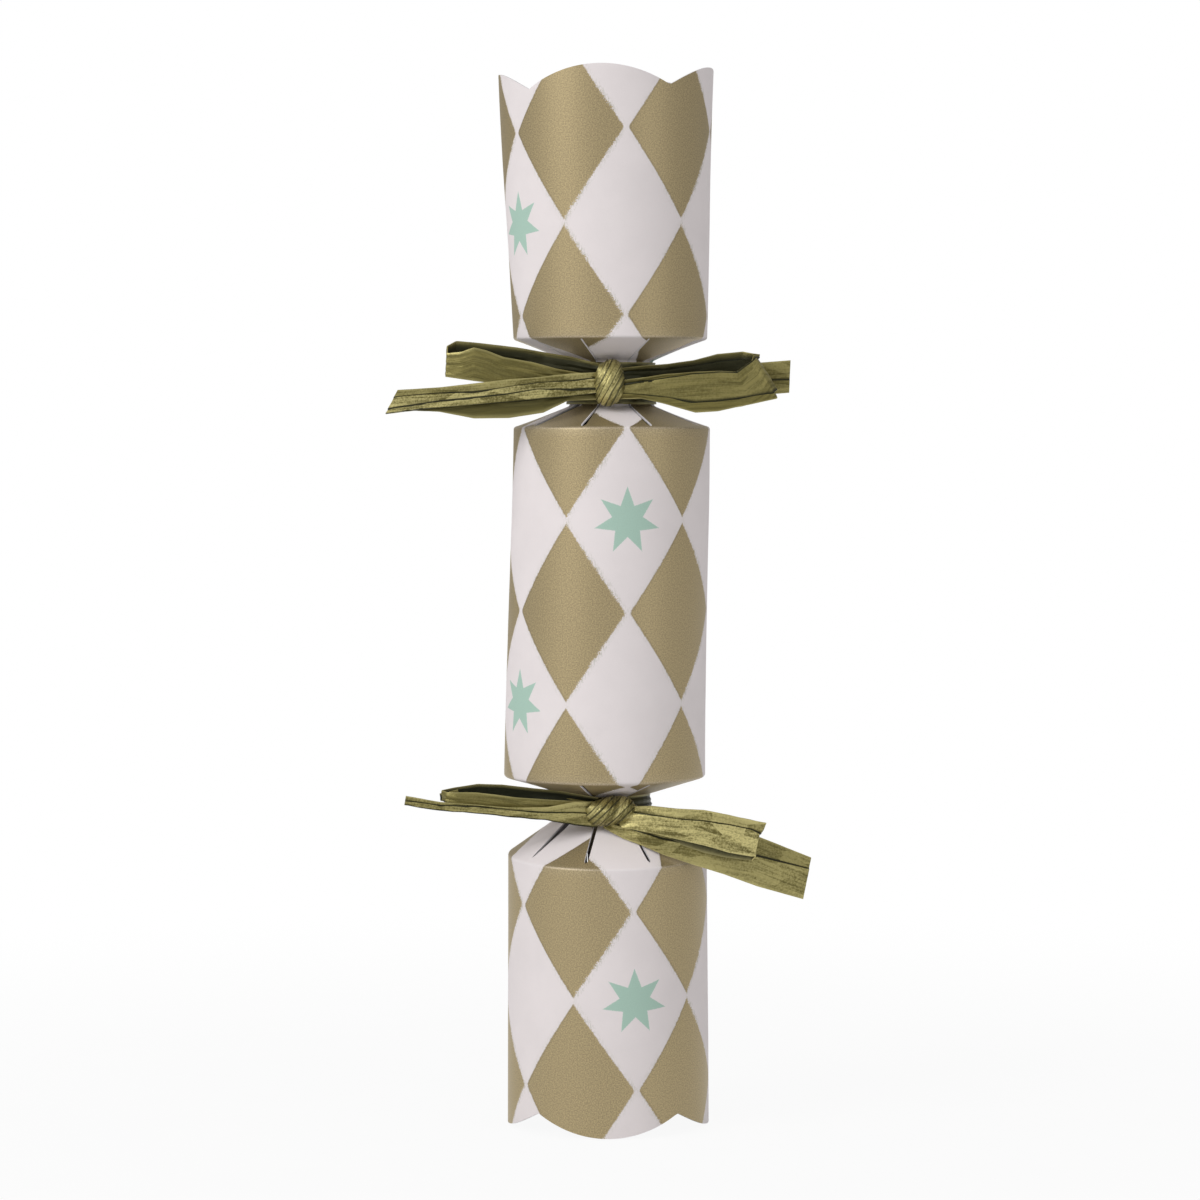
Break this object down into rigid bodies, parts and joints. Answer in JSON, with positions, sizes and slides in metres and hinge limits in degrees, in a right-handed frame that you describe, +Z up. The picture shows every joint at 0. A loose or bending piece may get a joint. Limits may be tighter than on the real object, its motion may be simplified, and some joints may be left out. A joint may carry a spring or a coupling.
{
  "type": "christmas cracker",
  "caption": "Pull-apart party cracker: a card tube with scalloped ends, tied in at two necks with raffia bows, holding a snap, a paper hat, a motto slip and a small gift.",
  "frame": {"origin": "on the cracker's axis, level with the tips of the lower scallops that it stands on", "axes": "+Z up the cracker's axis, the knots of the two bows at the front towards -Y, +X to the right as seen from the front"},
  "size_m": [0.12, 0.061, 0.3],
  "materials": {
    "printed_card": "printed card, gold and white diamonds",
    "snap_card": "plain grey-brown board",
    "snap_compound": "dry friction coating",
    "snap_paper": "thin white paper",
    "tissue": "green tissue paper",
    "motto_paper": "plain white paper",
    "gift_wood": "turned beech",
    "gift_peg": "turned beech peg",
    "raffia": "metallic olive-gold paper raffia"
  },
  "bodies": {
    "lower_end": {"lower_end_wrap": "printed_card", "snap_lower_strip": "snap_card", "snap_lower_patch": "snap_compound", "snap_band": "snap_paper"},
    "barrel": {"barrel_wrap": "printed_card", "paper_hat": "tissue", "motto_slip": "motto_paper", "gift_top_body": "gift_wood", "gift_top_spindle": "gift_peg", "upper_bow_band": "raffia", "upper_bow_knot": "raffia", "upper_bow_left_loop": "raffia", "upper_bow_right_loop": "raffia", "upper_bow_left_tail": "raffia", "upper_bow_right_tail": "raffia", "lower_bow_band": "raffia", "lower_bow_knot": "raffia", "lower_bow_left_loop": "raffia", "lower_bow_right_loop": "raffia", "lower_bow_left_tail": "raffia", "lower_bow_right_tail": "raffia"},
    "upper_end": {"upper_end_wrap": "printed_card", "snap_upper_strip": "snap_card", "snap_upper_patch": "snap_compound"}
  },
  "joints": [
    {"name": "barrel_pull", "type": "slide", "parent": "lower_end", "child": "barrel", "axis": [0, 0, 1], "range_m": [0, 0.1]},
    {"name": "upper_end_pull", "type": "slide", "parent": "barrel", "child": "upper_end", "axis": [0, 0, 1], "range_m": [0, 0.1]}
  ]
}
